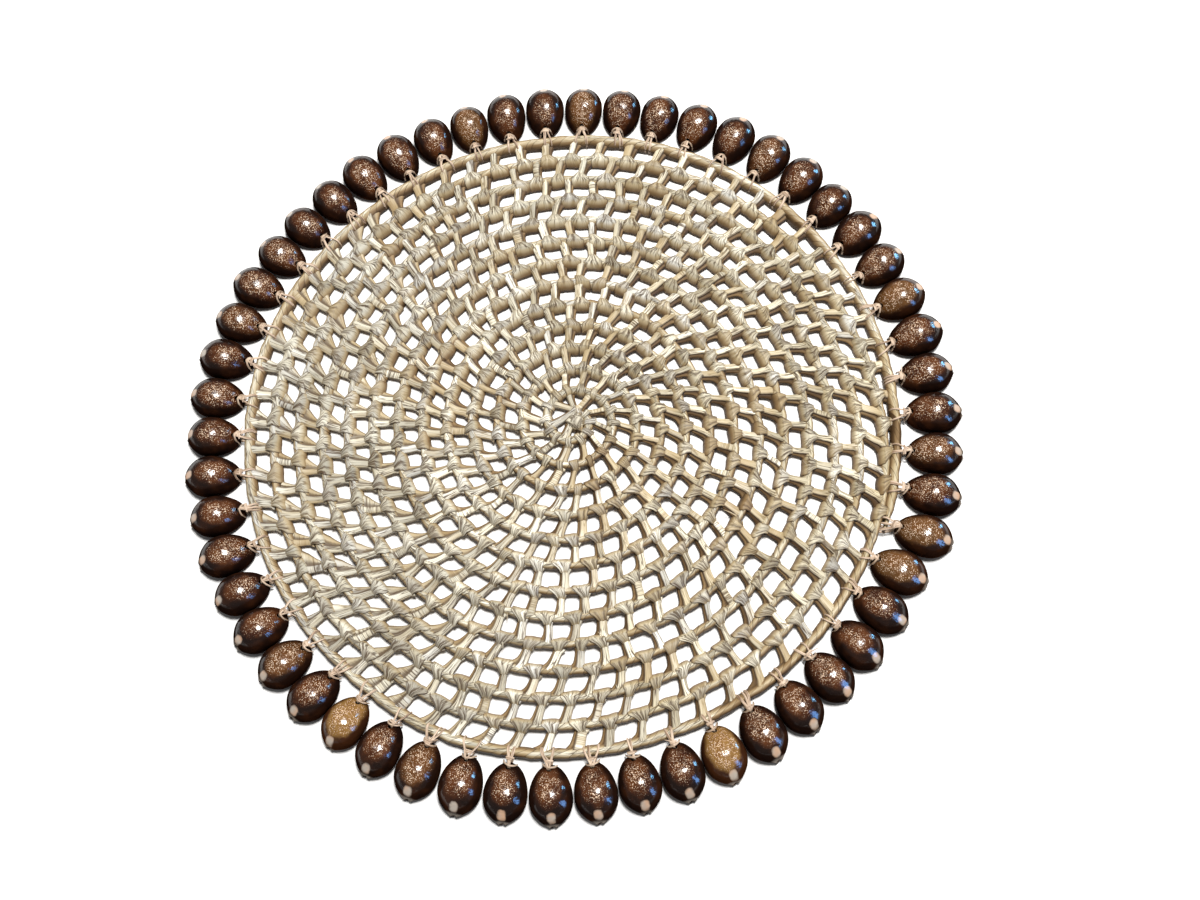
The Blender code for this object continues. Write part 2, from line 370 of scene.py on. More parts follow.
def leaf_material(name, looks):
    """Dry split palm leaf: streaks along the strip, tones by strip, brown edges, painted shade in creases,
    low down and on inner faces, and painted light in the middle and to the right.
    """
    material, tree, (tone, edge, browning) = new_material(name, "tone", "edge", "browning")
    place = add_node(tree, "UVMap", uv_map="leaf")
    where = add_node(tree, "NewGeometry", out="Position")
    side = where.axis(0)
    fine = place.noise((2100, 55, 1), 3.0, 0.6, tone * 91.0)
    broad = place.noise((520, 38, 1), shift=tone * 91.0)
    narrow = place.noise((980, 42, 1), 1.0, shift=tone * 153.0)
    patches = where.noise((26, 26, 26))
    zones = where.noise((17, 17, 17), roughness=0.55)
    lot = add_node(tree, "TexNoise", {"W": tone * 9.0, "Scale": 1.0, "Detail": 1.0},
                   noise_dimensions="1D")
    # The ground colour by strip, warmer to the mat's right, and how light it is: at random by strip, and
    # with painted light that is lighter in the middle and towards the mat's right
    warm = (patches * 1.5 - 0.62 + side * 1.7).math("ADD", tone * 0.55 - 0.05, clamp=True)
    colour = warm.mix(looks.pale, looks.warm)
    colour = tone.mapped(0.58, 1.0, 0.0, 0.80).mix(colour, looks.bleached)
    light = lot.mapped(0.30, 0.70, 0.60, 1.22) * patches.mapped(0.30, 0.72, 1.08, 0.84)
    light = light * where.vector("LENGTH", out="Value").mapped(0.05, 0.12, 1.07, 1.0)
    light = light * side.mapped(-0.14, 0.0, 0.87, 1.12)
    colour = add_node(tree, "VectorMath", {0: colour, 3: light}, operation="SCALE")
    # Streaks, veins and fold lines along the strip
    colour = (broad.mapped(0.36, 0.66) * 0.42).mix(colour, looks.tan)
    colour = (fine.mapped(0.50, 0.72) * 0.40).mix(colour, looks.brown)
    for lines, strength in ((broad, 0.90), (narrow, 0.80)):
        colour = abs(lines - 0.5).mapped(0.0, 0.040, strength, 0.0).mix(colour, looks.brown)
    # Browning in zones, painted shade low down and on the inner faces, less of it on the mat's left as
    # painted light, then dried edges and painted shade in creases
    zones = zones.mapped(0.47, 0.66, 0.0, 0.42) * lot.mapped(0.35, 0.60, 1.2, 0.4)
    tanned = browning + zones + side.mapped(-0.12, -0.02, -0.16, 0.0)
    tanned = tanned * (broad * 0.7 + 0.62)
    for low, high, most, darker in ((0.10, 0.55, 0.75, looks.golden), (0.45, 1.0, 0.92, looks.tan_dark),
                                    (0.85, 1.60, 0.92, looks.brown)):
        colour = tanned.mapped(low, high, 0.0, most).mix(colour, darker)
    # Dried strip edges, and painted shade in the creases, folds and overlaps, drawn towards brown
    dried_edge_and_crease_shade = edge.mapped(0.12 * MM, 0.64 * MM, 1.0, 0.0) * patches.mapped(0.25, 0.6, 0.55, 1.0)
    colour = (dried_edge_and_crease_shade * 0.85).mix(colour, looks.brown)
    return finish_material(material, colour=colour, rough=fine * 0.34 + 0.36, gloss=0.28,
                           bump=(broad * 0.7 + fine).bump(0.75, 0.16))


def tie_material(looks):
    """Thin raffia, pinkish cream with fine lengthwise fibres."""
    material, tree, (tone,) = new_material("raffia_strand", "tone")
    fibres = add_node(tree, "UVMap", uv_map="leaf").noise((3200, 130, 1), 3.0, 0.6, tone * 57.0)
    dark = (tone * 0.35 + fibres.mapped(0.40, 0.66)).math("MULTIPLY", 0.85, clamp=True)
    return finish_material(material, colour=dark.mix(looks.tie, looks.tie_dark), rough=0.55,
                           bump=fibres.bump(0.6, 0.1))


TIP_MIDDLE, TIP_HALF = (0.0103, 0.0002), (0.0021, 0.0019)  # the worn tip's place and half sizes
HOLE_COLOUR = (0.006, 0.004, 0.003)


def cowrie_material(looks):
    """Glossy cowrie: dark sides, a speckled back, a pale blunt tip, pale teeth underneath."""
    names = ("back", "tone", "hole", "teeth")
    material, tree, (back, tone, hole, teeth) = new_material("cowrie_gloss", *names)
    where = add_node(tree, "TexCoord", out="Object")
    shift = tone * 13.0
    wobble = where.noise((230, 230, 230), 3.0, 0.6, shift)
    clouds = where.noise((120, 120, 120), shift=shift)
    honey = tone.mapped(0.66, 1.0, how="LINEAR")
    rim = back + (wobble * 0.9 + (tone * 0.5 - 0.72))
    ground = clouds.mapped(0.35, 0.65).mix(looks.back, looks.back_warm)
    ground = (honey * 0.65).mix(ground, looks.honey)
    # Speckles of two sizes, thinner towards the rim of the back
    spread = where.moved((1000, 1000, 1000), shift)
    bend = add_node(tree, "TexNoise", {"Vector": spread, "Scale": 0.6, "Detail": 1.0}, "Color")
    bent = spread.vector("ADD", bend.vector("MULTIPLY", (0.4, 0.4, 0.4)))
    thin = rim.mapped(-0.30, 0.75, 0.30, 1.18, how="LINEAR")
    spare = wobble.mapped(0.34, 0.58) * 0.75 + 0.25
    for scale, size, spot in ((1.3, 0.42, looks.spot), (1.75, 0.34, looks.speckle)):
        cells = add_node(tree, "TexVoronoi", {"Vector": bent, "Scale": scale}, "Distance")
        chance = Value(tree, cells.socket.node.outputs["Color"]).axis(0)
        inner = thin * (chance * (0.85 * size) + 0.45 * size) - cells
        ground = (inner.mapped(-0.02, 0.06) * spare).mix(ground, spot)
    side = clouds.mapped(0.4, 0.75).mix(looks.side, looks.side_warm)
    side = (honey * 0.35).mix(side, looks.back_warm)
    colour = rim.mapped(-0.30, 0.40).mix(side, ground)
    # The worn tip, the lips' ends, the teeth and the drilled hole
    off = [abs(where.axis(i) * (1 / TIP_HALF[i]) - TIP_MIDDLE[i] / TIP_HALF[i]) ** 2.6 for i in (0, 1)]
    blunt = (wobble * 2.2 + (off[0] + off[1])).mapped(1.4, 2.9, 1.0, 0.0)
    pale = clouds.mapped(0.35, 0.65).mix(looks.tip, looks.tip_grey)
    colour = (blunt * where.axis(2).mapped(0.004, 0.0055)).mix(colour, pale)
    lip = (wobble * 0.0016 + where.axis(0)).mapped(0.0132, 0.0145, 0.0, 0.55)
    colour = (lip * where.axis(2).mapped(0.0025, 0.004)).mix(colour, looks.tip_grey)
    colour = hole.mix(teeth.mix(colour, looks.teeth), HOLE_COLOUR)
    upward = add_node(tree, "NewGeometry", out="Normal").axis(2)
    ripple = where.noise((560, 560, 560), shift=shift)
    return finish_material(material, colour=colour, rough=hole * 0.5 + (wobble * 0.14 + 0.09),
                           gloss=upward.mapped(0.62, 0.80, 0.0, 0.55), bump=ripple.bump(1.0, 0.20))


def floor_material(looks):
    material, tree, _ = new_material("pale_floor")
    mottle = add_node(tree, "NewGeometry", out="Position").noise((9, 9, 9), 3.0)
    colour = mottle.mix(looks.floor, [value * 0.985 for value in looks.floor])
    return finish_material(material, colour=colour, rough=0.85, gloss=0.0)


# Posts


def post_layout():
    """The turn at which each post's foot stands, more closely spaced around the middle."""
    numbers = random.Random(55)
    turns = [FIRST_POST_TURN]
    while turns[-1] < COIL_TURNS:
        radius = max(turns[-1] - 0.5, 0.35) / COIL_TURNS * RIM_RADIUS
        spacing = float(eased(POST_SPACINGS, radius / MM)) * MM
        spacing *= 1 + SPACING_SPREAD * numbers.uniform(-1, 1)
        turns.append(turns[-1] + spacing / (TAU * (radius + 0.5 * RIM_RADIUS / COIL_TURNS)))
    return np.array(turns[:-1])


def posts():
    """Where each post's foot and head stand on the coil, as lengths along it."""
    feet = post_layout()
    numbers = np.random.default_rng(56)
    radius = np.maximum((feet - 0.5) / COIL_TURNS * RIM_RADIUS, 0.005)
    lean = eased(POST_LEANS, np.degrees(azimuth_of(feet)) % 360) * MM
    lean = (lean + LEAN_SPREAD * numbers.uniform(-1, 1, len(feet))) / (TAU * radius)
    heads = length_at(np.maximum(feet - 1 - lean, COIL_START_TURN + 0.02))
    feet = length_at(feet)
    before, after, alone = room_on_row(feet, heads)
    off = (before + after) / 2 - HEAD_BACK - heads
    return feet, heads + np.clip(off, -HEAD_SHIFT, HEAD_SHIFT) * alone


def left_share(point):
    """From 0 to 1 towards the mat's left, where less shade is painted on the leaf and the webs spread wider
    at the feet.
    """
    return smooth((-point[..., 0] - 0.02) / 0.10)


def room_on_row(feet, heads):
    """The feet on either side of each head on its row, and whether no other head is there."""
    index = np.searchsorted(feet, heads + HEAD_CLEAR)
    bounds = np.concatenate([[feet[0] - FIRST_ROOM], feet, [COIL_LENGTH]])
    return bounds[index], bounds[index + 1], np.bincount(index)[index] == 1


# The leaf from a post's neck over the row inside it, inwards, and back underneath: angle round
# the coil in degrees, how far it has spread from neck to body, lift off the coil and swelling, mm
FAN_ROWS = (
    (14, 0.00, 1.70, 0.00), (38, 0.18, 1.00, 0.00), (62, 0.45, 0.52, 0.00), (84, 0.75, 0.40, 0.00),
    (104, 0.92, 0.46, 0.04), (126, 0.98, 0.26, 0.14), (154, 1.00, 0.24, 0.36), (184, 1.00, 0.26, 0.90),
    (206, 1.00, 0.28, 1.55), (230, 0.97, 0.28, 1.45), (262, 0.55, 0.22, 0.45), (326, 0.00, 0.25, 0.00),
)
# Shares of a fan's width; the outermost two points turn its edges down
FAN_ACROSS = np.array((-0.02, 0.0, 0.05, 0.13, 0.22, 0.31, 0.40, 0.50, 0.60, 0.69, 0.78, 0.87, 0.95,
                       1.0, 1.02))
FAN_SPREAD = (-3.5, 6.8)  # how far a head's leaf reaches along the coil to either side, in mm
LEAST_REACH, LEAST_FAN = (-1.6, 2.2), 5.0  # mm to either side, and together
SHARED_AT, FOOT_ROOM = 0.8, 1.7  # mm: how far clockwise of halfway two heads meet, and a foot's room
FAN_LEAF = (0.0085, 0.0030)  # the flat leaf's width, and its length for each radian round the coil
FAN_WIDTH, FAN_NECK = 0.0100, 1.8  # the fan width that the spreads are for, and half a neck in mm
FRONT_BROWN = 0.34  # the most browning of a fan or of a shaft's front strip


def fan_reaches(numbers):
    """How far each head's leaf spreads along the coil, anticlockwise and clockwise, in mm."""
    feet, heads = posts()
    before, after, _ = room_on_row(feet, heads)
    left = (before - heads) / MM + FOOT_ROOM
    right = (after - heads) / MM - FOOT_ROOM
    apart = np.diff(heads) / MM / 2
    left[1:] = np.maximum(left[1:], SHARED_AT - apart)
    right[:-1] = np.minimum(right[:-1], SHARED_AT + apart)
    least, most = FAN_SPREAD
    left = np.maximum(left, least - np.maximum(most - right, 0))
    right = np.minimum(right, most + np.maximum(left - least, 0))
    left, right = np.minimum(left, LEAST_REACH[0]), np.maximum(right, LEAST_REACH[1])
    middle, half = (left + right) / 2, np.maximum(right - left, LEAST_FAN) / 2
    left, right = middle - half, middle + half
    left = left + numbers.uniform(-0.3, 0.5, len(heads))
    return heads, left, right + numbers.uniform(-0.5, 0.3, len(heads))


def build_fans(sizes, material):
    """The fanned leaf of each post's head, wrapped round the row inside it."""
    numbers = np.random.default_rng(57)
    heads, *reaches = fan_reaches(numbers)
    anticlockwise, clockwise = (value[:, None, None] for value in reaches)

    def draw(low=-1, high=1):
        """A random number for each head."""
        return numbers.uniform(low, high, (len(heads), 1, 1))

    shape = (len(heads), len(FAN_ROWS), len(FAN_ACROSS))
    degrees, spread, rise, swelling = (value[None, :, None] for value in np.array(FAN_ROWS).T)
    angle = np.broadcast_to(np.radians(degrees), shape)
    across = np.broadcast_to(FAN_ACROSS[None, None, :], shape)
    room = np.clip(heads / 0.40, 0.30, 1.0)[:, None, None] ** 0.35
    broad = draw(0) > 0.90
    size = sizes.fan_width / FAN_WIDTH * room * (1 + 0.14 * broad + 0.08 * draw())
    neck = FAN_NECK * room * (1 + 0.12 * draw())
    left = -neck + (anticlockwise * size + neck) * spread
    right = neck + (clockwise * size - neck) * spread
    width = right - left
    along = left + width * across
    along = along + waves(angle * 0.01 + heads[:, None, None], *FAN_WAVES)
    folds = numbers.integers(2, 6, (len(heads), 1, 1))
    pleat = np.abs(np.sin(math.pi * (folds * across + draw(0)))) ** 0.6
    deep = draw(0.16, 0.42) * (1 - 0.55 * smooth((degrees - 100) / 60))
    swell = swelling * (0.78 + 0.22 * smooth(across / 0.20)) * (1 - 0.24 * across ** 2)
    point, _, outward = on_line(heads)
    away = away_share(outward)[:, None, None]
    swell = swell * draw(0.6, 1.15) * room * (1 - 0.72 * away)
    lift = rise + deep * pleat + swell + 0.10 * np.sin(math.pi * np.clip(across, 0, 1))
    rim = np.where((across < 0) | (across > 1), -0.35, lift - 0.12)
    lift = np.where((across <= 0) | (across >= 1), rim, lift)
    length = np.clip(heads[:, None, None] + along * MM, 0, COIL_LENGTH)
    points = coil_surface(length, angle, lift * MM, sizes)
    # The folds open out past the crest, so the leaf's marks are drawn wider there
    opened = 1 - 0.5 * smooth((degrees - 98) / 40)
    flat = np.stack([(across - 0.5) * FAN_LEAF[0] * opened, angle * FAN_LEAF[1]], -1)
    edge = np.clip(np.minimum(across, 1 - across), 0, 1) * width
    # Painted shade: dark lines along the pleats, fading below the crest
    edge = np.minimum(edge, 0.04 + 0.50 * pleat + 0.5 * smooth((degrees - 100) / 60)) * MM
    tone = np.broadcast_to(np.maximum(draw(0), 0.93 * broad), shape)
    tanned = draw(0) ** 2 * FRONT_BROWN
    # Painted shade on the faces turned inwards and down and on the neck's outward side, less on the mat's
    # left where these faces turn to the lamp
    shaded = 0.42 * smooth((degrees - 112) / 38) + 0.34 * smooth((degrees - 180) / 50)
    shaded = shaded * (1 - 0.5 * left_share(point)[:, None, None])
    shaded = shaded + 0.35 * (1 - smooth((degrees - 10) / 40))
    browning = tanned + shaded + 0.25 * smooth((across - 0.75) / 0.25) * smooth((degrees - 80) / 60)
    skin = Skin()
    skin.add(points, flat, closed=False, deepest_shade=0.95, tone=tone, edge=edge, browning=browning)
    return skin.piece("fanned_heads", material, 36)


# A shaft's section from its anticlockwise edge over the top: which side's half width, the share
# of it, the height as a share from the underside to the top, and the strip that the point is on
SHAFT_SECTION = (
    ("left", -1.00, 0.40, "front"), ("left", -0.92, 0.76, "front"), ("left", -0.54, 0.96, "front"),
    ("left", 0.06, 1.00, "front"), ("left", 0.50, 0.92, "front"), ("left", 0.58, 0.66, "side"),
    ("right", 0.78, 0.58, "side"), ("right", 1.00, 0.36, "side"), ("right", 0.72, 0.12, "under"),
    ("left", 0.00, 0.00, "under"), ("left", -0.74, 0.10, "under"),
)
# How far each of these points counts as being from its strip's dried edge; the darkening there is also
# painted shade in the fold between strips
SHAFT_EDGES = np.array((0.3, 0.9, 1.4, 1.0, 0.0, 0.0, 0.8, 0.0, 0.6, 1.2, 0.7)) * MM
# Shares of a shaft's length from head to foot, then its sides, top and underside there in mm
SHAFT_STEPS = np.array((0.0, 0.08, 0.16, 0.26, 0.42, 0.58, 0.70, 0.79, 0.88, 1.0))
SHAFT_LEFT = ((0, 1.60), (0.12, 1.70), (0.3, 1.85), (0.6, 1.95), (0.86, 2.1), (1.0, 2.5))
SHAFT_RIGHT = ((0, 1.55), (0.12, 1.70), (0.3, 2.0), (0.6, 2.2), (0.86, 2.5), (1.0, 3.0))
SHAFT_TOP = ((0.0, 5.4), (0.12, 5.2), (0.3, 4.9), (0.55, 4.8), (0.80, 5.4), (1.0, 6.4))
SHAFT_UNDER = ((0.0, 2.2), (0.3, 1.6), (0.7, 1.4), (1.0, 1.2))
HEAD_FLARE, FOOT_FLARE = (1.5, 0.5, 2.6), (1.2, 1.1, 2.8)  # mm: how wide, from where, how long
SHORTEST_SHAFT = 0.0022
SHAFT_WIDTH = 0.0042  # the post width that the half widths are for
# How far a shaft starts outside its head's middle line and stops short of its foot's, as shares
# of the coil's width
SHAFT_FROM, SHAFT_SHORT = 0.34, 0.08


def build_shafts(sizes, material):
    """The posts' shafts: a bright front strip, a browner strip beside it that also carries painted shade, a
    web at the foot.
    """
    feet, heads = posts()
    turns = post_layout()
    numbers = np.random.default_rng(58)
    start, _, out_head = on_line(heads)
    end, _, out_foot = on_line(feet)
    start = start + out_head * sizes.coil_width * SHAFT_FROM
    end = end - out_foot * sizes.coil_width * SHAFT_SHORT
    span = np.linalg.norm(end - start, axis=1)
    kept = span > SHORTEST_SHAFT
    start, end, out_foot = start[kept], end[kept], out_foot[kept]
    span, feet, turns = (value[kept, None] for value in (span, feet, turns))
    shape = (len(span), len(SHAFT_STEPS), len(SHAFT_SECTION))

    def draw(low=-1, high=1):
        """A random number for each post."""
        return numbers.uniform(low, high, (len(span), 1))

    ahead = (end - start) / span
    aside = np.stack([ahead[:, 1], -ahead[:, 0]], -1)
    steps = SHAFT_STEPS[None, :]
    size = sizes.post_width / SHAFT_WIDTH * (1 + 0.14 * draw())
    size = size * np.clip(feet / 0.80, 0.80, 1.0)
    size = size * (1 + 0.10 * away_share(out_foot)[:, None])
    broad = (draw(0) > 0.88) * 0.25
    web = draw(0) ** 1.3 * 2.7 * np.clip(span / 0.0080, 0.2, 1.0)
    leftward = left_share(end)[:, None]
    web = web * (1 + 0.9 * leftward) + 1.0 * leftward
    broad = broad + 0.30 * smooth((turns - COIL_TURNS + 1.1) / 0.2) * draw(0)
    flare = np.zeros(shape[:2])
    for (wide, start_at, long), at in ((HEAD_FLARE, steps), (FOOT_FLARE, 1 - steps)):
        run = (at * span / MM - start_at) / long
        flare = flare + wide * draw(0.5, 1.2) * (1 - np.clip(run, 0, 1)) ** 2
    left = eased(SHAFT_LEFT, steps) * (size + broad) + flare
    right = eased(SHAFT_RIGHT, steps) * (size + broad) + flare
    spread_out = (1 - leftward) * smooth((steps - 0.45) / 0.55) ** 1.4
    right = right + web * (spread_out + leftward * np.clip((steps - 0.10) / 0.62, 0, 1) ** 1.3)
    top = eased(SHAFT_TOP, steps) + 0.25 * draw()
    under = eased(SHAFT_UNDER, steps)
    bow = 0.40 * draw() * np.sin(math.pi * steps)
    front_tone, side_tone = numbers.uniform(0, 1, (2, len(span), 1))
    # The side strip is browner, partly its own colour and partly painted shade that fades on the mat's left
    # where it faces the lamp; the underside gets painted shade
    strip_browning_and_shade = {"side": (0.55 + 0.5 * draw(0)) * (1 - 0.95 * leftward), "front": draw(0) ** 2 * FRONT_BROWN,
              "under": 0.35 * (1 - 0.8 * leftward)}
    middle = start[:, None] + (end - start)[:, None] * steps[..., None]
    points = np.zeros((*shape, 3))
    browning, tone = np.zeros((2, *shape))
    for index, (side, share, height, strip) in enumerate(SHAFT_SECTION):
        x = ((left if side == "left" else right) * share + bow) * MM
        points[:, :, index, :2] = middle + aside[:, None] * x[..., None]
        points[:, :, index, 2] = (under + (top - under) * height) * MM
        tone[:, :, index] = side_tone if strip == "side" else front_tone
        browning[:, :, index] = strip_browning_and_shade[strip]
    gaps = np.linalg.norm(np.diff(points, axis=2, append=points[:, :, :1]), axis=-1)
    flat = np.zeros((*shape[:2], shape[2] + 1, 2))
    flat[:, :, 1:, 0] = np.cumsum(gaps.mean((0, 1)))[None, None]
    flat[..., 1] = (steps * span)[..., None]
    # A few posts are wound round with strip, so its grain runs across them
    wound = numbers.uniform(0, 1, len(span)) > 0.87
    flat[wound] = flat[wound][..., ::-1] * np.array((1.0, 0.6))
    skin = Skin()
    skin.add(points, flat, deepest_shade=1.2, tone=tone, edge=SHAFT_EDGES, browning=browning)
    return skin.piece("post_shafts", material)


# Coil

COIL_COLUMNS = 12
COIL_LEAF = 0.0027  # the flat leaf's length for each radian round the coil
WRAP_SPREAD, WRAP_SLANT = 0.34, 0.42  # shares of a wrap's length
WRAPS_PER_STRIP = 7
WRAP_SLOPES = math.radians(8), math.radians(24)  # of the leaf's grain on the rim and within it
# Across a wrap as shares of its length: the steps, the lift there, and how far the edge is
WRAP_STEPS = np.array((0.0, 0.34, 0.68, 1.0))
WRAP_LIFTS = np.array((0.17, 0.11, 0.05, 0.0)) * MM
WRAP_EDGES = np.array((0.0, 0.34, 0.32, 0.0))


def build_coil(sizes, material):
    """The leaf-wrapped coil, each slanting wrap lapping over the one before it."""
    numbers = np.random.default_rng(59)
    cuts = [0.0]
    while cuts[-1] < COIL_LENGTH:
        cuts.append(cuts[-1] + sizes.wrap_length * (1 + WRAP_SPREAD * numbers.uniform(-1, 1)))
    cuts = np.array(cuts) * COIL_LENGTH / cuts[-1]
    count = len(cuts) - 1
    last = smooth((cuts - RIM_START) / LAST_ROW_BLEND)
    slant = sizes.wrap_length * WRAP_SLANT * (1 + 0.35 * numbers.uniform(-1, 1, count + 1)) * (1 + last)
    slant[0] = slant[-1] = 0
    last = last[:-1, None, None]
    spans = np.diff(cuts)[:, None]
    along = cuts[:-1, None] + spans * WRAP_STEPS
    lean = slant[:-1, None] + np.diff(slant)[:, None] * WRAP_STEPS
    angle = -math.pi / 2 + TAU * np.arange(COIL_COLUMNS + 1) / COIL_COLUMNS
    length = along[..., None] + lean[..., None] * np.cos(angle - 0.25)
    from_rim, round_it = length - RIM_START, angle * COIL_LEAF
    slope = np.where(from_rim > 0, *WRAP_SLOPES)
    flat = np.stack([from_rim * np.sin(slope) + round_it * np.cos(slope),
                     from_rim * np.cos(slope) - round_it * np.sin(slope)], -1)
    length, angle = np.clip(length[..., :-1], 0.0002, COIL_LENGTH - 0.0002), angle[:-1]
    lift = WRAP_LIFTS[None, :, None] * (numbers.uniform(0.6, 1.3, (count, 1, 1)) * (1 - 0.55 * last))
    points = coil_surface(length, angle + 0 * length, lift + 0 * length, sizes)
    # Dried wrap edges, and painted shade where each wrap lies under the lifted edge of the next
    edge = WRAP_EDGES[None, :, None] * spans[..., None] * np.ones(COIL_COLUMNS)
    edge = edge + numbers.uniform(0.05, 0.28, (count, 1, 1)) * MM
    strip = np.cumsum(numbers.uniform(0, 1, count) < 1 / WRAPS_PER_STRIP)
    strips = strip[-1] + 1
    tone = numbers.uniform(0, 1, strips)[strip] + 0.06 * numbers.uniform(-1, 1, count)
    dried = (0.12 + 0.55 * numbers.uniform(0, 1, strips) ** 2.5)[strip][:, None, None] + 0.22 * last
    cos, sin = np.cos(angle), np.sin(angle)
    # Painted shade: browner on the coil's outer side, low on its inner side and underneath; the crest is
    # kept paler as painted light
    faces = 0.70 * smooth((cos - 0.20) / 0.6) + 0.40 * smooth((-cos - 0.35) / 0.5) + 0.45 * (sin < 0)
    browning = dried + faces - 0.30 * smooth((sin - 0.7) / 0.3) + 0 * edge
    whole = (1, count * len(WRAP_STEPS))
    tone = (tone[:, None, None] + 0 * edge).reshape(*whole, -1)
    skin = Skin()
    skin.add(points.reshape(*whole, -1, 3), flat.reshape(*whole, -1, 2), tone=tone,
             edge=edge.reshape(*whole, -1), browning=browning.reshape(*whole, -1))
    return skin.piece("wrapped_coil", material)


# Strands


def curve_through(points, count):
    """Evenly shared points on a smooth curve through the given ones, copies x points x 3."""
    ends = np.concatenate([2 * points[:, :1] - points[:, 1:2], points,
                           2 * points[:, -1:] - points[:, -2:-1]], 1)
    at = np.linspace(0, points.shape[1] - 1 - 1e-6, count)
    index = at.astype(int)
    t = (at - index)[None, :, None]
    p0, p1, p2, p3 = (ends[:, index + i] for i in range(4))
    return 0.5 * (2 * p1 + (p2 - p0) * t + (2 * p0 - 5 * p1 + 4 * p2 - p3) * t ** 2
                  + (3 * p1 - p0 - 3 * p2 + p3) * t ** 3)


def add_strands(skin, paths, wide, thick, sides, girth, twist=0.0, **values):
    """Adds flattened tubes along paths, copies x points x 3, of those half widths."""
    ahead = np.gradient(paths, axis=1)
    ahead /= np.linalg.norm(ahead, axis=-1, keepdims=True) + 1e-12
    level = np.abs(ahead[..., 2:3]) > 0.93
    up = np.where(level, np.array((0.6, 0.8, 0.0)), np.array((0.0, 0.0, 1.0)))
    aside = np.cross(ahead, up)
    aside /= np.linalg.norm(aside, axis=-1, keepdims=True) + 1e-12
    over = np.cross(aside, ahead)
    angle = TAU * np.arange(sides) / sides + twist
    wide, thick = (np.broadcast_to(half, paths.shape[:2])[..., None, None] for half in (wide, thick))
    ring = aside[:, :, None] * np.cos(angle)[:, None] * wide
    ring = ring + over[:, :, None] * np.sin(angle)[:, None] * thick
    lengths = np.linalg.norm(np.diff(paths, axis=1), axis=-1)
    along = np.concatenate([np.zeros((len(paths), 1)), np.cumsum(lengths, 1)], 1)
    across = np.arange(sides + 1) / sides * girth
    flat = np.stack(np.broadcast_arrays(across[None, None], along[..., None]), -1)
    skin.add(paths[:, :, None] + ring, flat, **values)


# A band's direction in degrees, its distance off the middle and its half width in mm
HUB_BANDS = ((20, 0.4, 2.2), (78, -0.9, 2.0), (128, 0.7, 2.4), (165, -0.5, 1.9), (232, 0.2, 2.3))
# Along a band: the share of its half length, and its height in mm
HUB_ROUTE = ((-1.1, 1.2), (-0.92, 3.6), (-0.5, 5.4), (0, 6.0), (0.5, 5.4), (0.92, 3.6), (1.1, 1.2))
HUB_SHIFT = (0.0008, -0.0006)  # from the spiral's middle
HUB_SIDES, HUB_POINTS = 10, 19


def build_hub(sizes, material):
    """Leaf bands crossed over the coil's start."""
    paths = []
    middle = np.array(SPIRAL_MIDDLE) + np.array(HUB_SHIFT)
    for level, (degrees, off, _) in enumerate(HUB_BANDS):
        way = np.array((math.cos(math.radians(degrees)), math.sin(math.radians(degrees))))
        aside = np.array((-way[1], way[0]))
        path = []
        for share, height in HUB_ROUTE:
            at = middle + way * share * sizes.hub_width / 2 + aside * off * MM * (1 + 0.5 * share)
            path.append((*at, (height + 0.28 * level * (1 - share * share)) * MM))
        paths.append(path)
    halves = np.array(HUB_BANDS)[:, 2:] * MM
    edge = np.abs(np.abs(np.cos(TAU * np.arange(HUB_SIDES) / HUB_SIDES)) - 1) * 1.6 * MM
    skin = Skin()
    add_strands(skin, curve_through(np.array(paths), HUB_POINTS), halves, 0.42 * MM, HUB_SIDES, 0.0065,
                edge=edge, tone=np.linspace(0.1, 0.8, len(paths))[:, None, None], browning=0.1)
    return skin.piece("crossed_hub", material, 60)


def vertex_places(mesh):
    points = np.zeros(len(mesh.vertices) * 3)
    mesh.vertices.foreach_get("co", points)
    return points.reshape(-1, 3)


def cowrie_places():
    """Each cowrie's node, its inner end, its way outwards, its length, width and height."""
    places = []
    for name in COWRIE_NODES:
        points = vertex_places(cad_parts[name].data)
        reach = np.linalg.norm(points[:, :2], axis=1)
        inner, outer = points[reach.argmin(), :2], points[reach.argmax(), :2]
        length = np.linalg.norm(outer - inner)
        ahead = (outer - inner) / length
        aside = np.array((-ahead[1], ahead[0]))
        spread = (points[:, :2] - inner) @ aside
        places.append((name, inner, ahead, length, np.ptp(spread), np.ptp(points[:, 2])))
    return places


# A strand's way from the drilled hole over the rim and back under it: the share of the way from
# the rim's middle line (0) to the hole (1), the share of its sideways reach, and its height in mm
TIE_ROUTE = (
    (1.03, 0.00, 5.8), (0.95, 0.04, 7.7), (0.80, 0.14, 8.5), (0.54, 0.34, 8.1), (0.28, 0.58, 7.45),
    (0.02, 0.84, 7.15), (-0.24, 0.98, 6.45), (-0.40, 1.00, 4.6), (-0.48, 1.00, 2.4),
    (-0.32, 0.94, 0.75), (0.02, 0.80, 0.32), (0.30, 0.52, 0.50), (0.62, 0.26, 1.3), (0.95, 0.05, 3.0),
)
# A strand across the cowrie's inner end: the share of the way from the rim to the hole, the
# distance sideways and the height in mm
BAR_ROUTE = (
    (0.62, -3.3, 2.6), (0.70, -2.9, 5.0), (0.80, -2.0, 7.1), (0.86, 0.0, 8.3), (0.80, 2.0, 7.1),
    (0.70, 2.9, 5.0), (0.62, 3.3, 2.6),
)
HOLE_SHARE = 0.095
HOLE_RADIUS = 1.2  # mm
TIE_POINTS, BAR_POINTS, RING_POINTS, TAIL_POINTS = 34, 19, 15, 7
TIE_DEPTH = 0.0072  # from the rim's middle line inwards, where the route's share would be -1
KNOT_TURNS = 1.35


